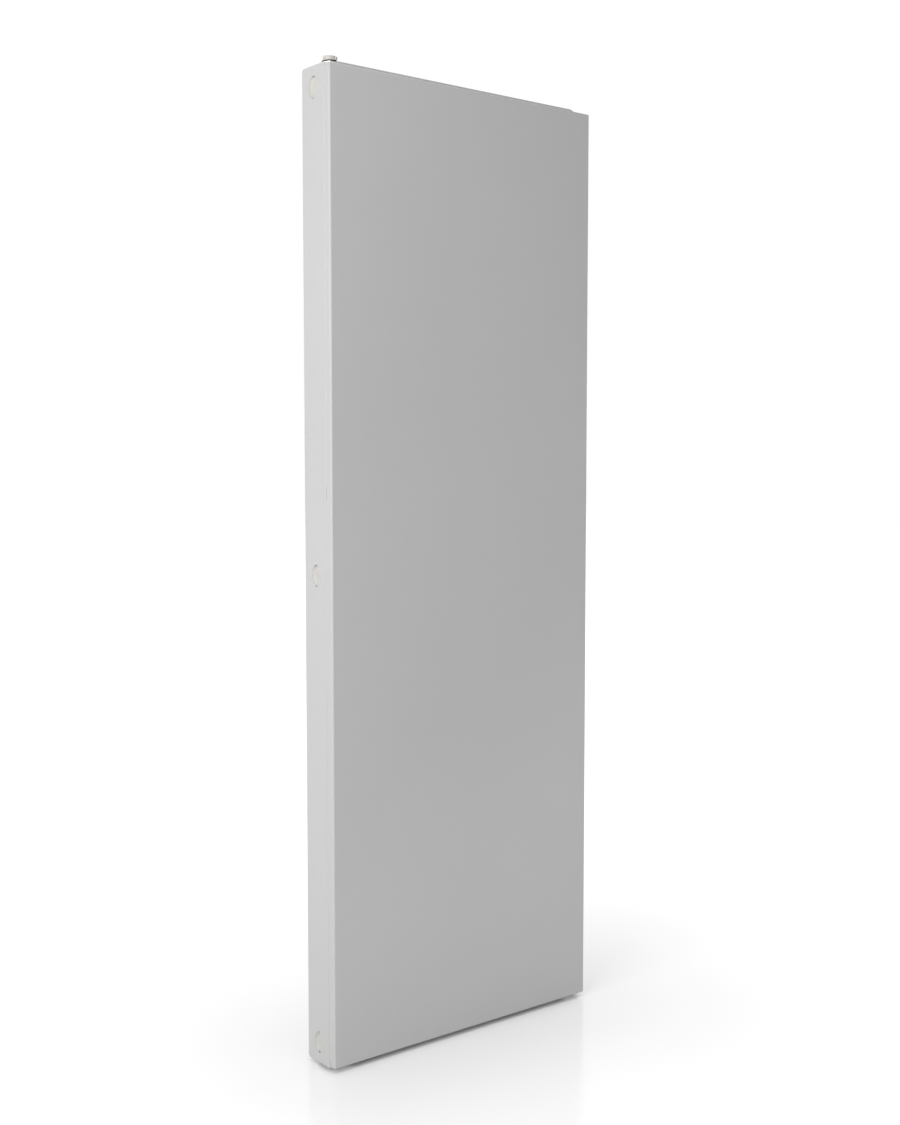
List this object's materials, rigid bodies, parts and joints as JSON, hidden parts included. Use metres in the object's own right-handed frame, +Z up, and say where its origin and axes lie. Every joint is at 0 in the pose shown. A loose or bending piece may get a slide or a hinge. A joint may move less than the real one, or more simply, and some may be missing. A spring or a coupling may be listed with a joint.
{
  "type": "vertical panel radiator",
  "caption": "Tall flat-fronted hot-water radiator: folded front plate and side covers round two pressed water panels with convectors, corner tappings, vent and rear hanging lugs.",
  "frame": {"origin": "middle of the base, on the floor under the core", "axes": "+Z up, +Y from the flat front towards the wall, +X to the right seen from the front"},
  "size_m": [0.6258, 0.091, 1.8324],
  "materials": {
    "coated_steel": "satin powder coat, pale grey-white",
    "cap_plastic": "satin moulded plastic",
    "nickel_brass": "nickel plated",
    "vent_plastic": "smooth ivory plastic",
    "screw_brass": "plain brass",
    "zinc_steel": "zinc plated sheet"
  },
  "bodies": {
    "radiator": {"blanking_plug": "nickel_brass", "front_convector": "coated_steel", "front_panel_front_sheet": "coated_steel", "front_panel_rear_sheet": "coated_steel", "front_plate": "coated_steel", "left_bottom_lug": "coated_steel", "left_caps": "cap_plastic", "left_cover_clips": "zinc_steel", "left_panel_spacer": "coated_steel", "left_side_cover": "coated_steel", "left_tees": "coated_steel", "left_top_lug": "coated_steel", "lower_plate_rail": "coated_steel", "middle_plate_rail": "coated_steel", "rear_convector": "coated_steel", "rear_panel_front_sheet": "coated_steel", "rear_panel_rear_sheet": "coated_steel", "right_bottom_lug": "coated_steel", "right_caps": "cap_plastic", "right_cover_clips": "zinc_steel", "right_panel_spacer": "coated_steel", "right_side_cover": "coated_steel", "right_tees": "coated_steel", "right_top_lug": "coated_steel", "upper_plate_rail": "coated_steel", "vent_plug": "nickel_brass"},
    "vent_outlet": {"vent_outlet": "vent_plastic"},
    "bleed_screw": {"bleed_screw": "screw_brass"}
  },
  "joints": [
    {"name": "outlet_swivel", "type": "hinge", "parent": "radiator", "child": "vent_outlet", "pos_m": [-0.278, 0.004, 1.828], "axis": [0, 0, 1], "continuous": true},
    {"name": "bleed_turn", "type": "hinge", "parent": "radiator", "child": "bleed_screw", "pos_m": [-0.278, 0.004, 1.82], "axis": [0, 0, 1], "range_deg": [0, 360]}
  ]
}
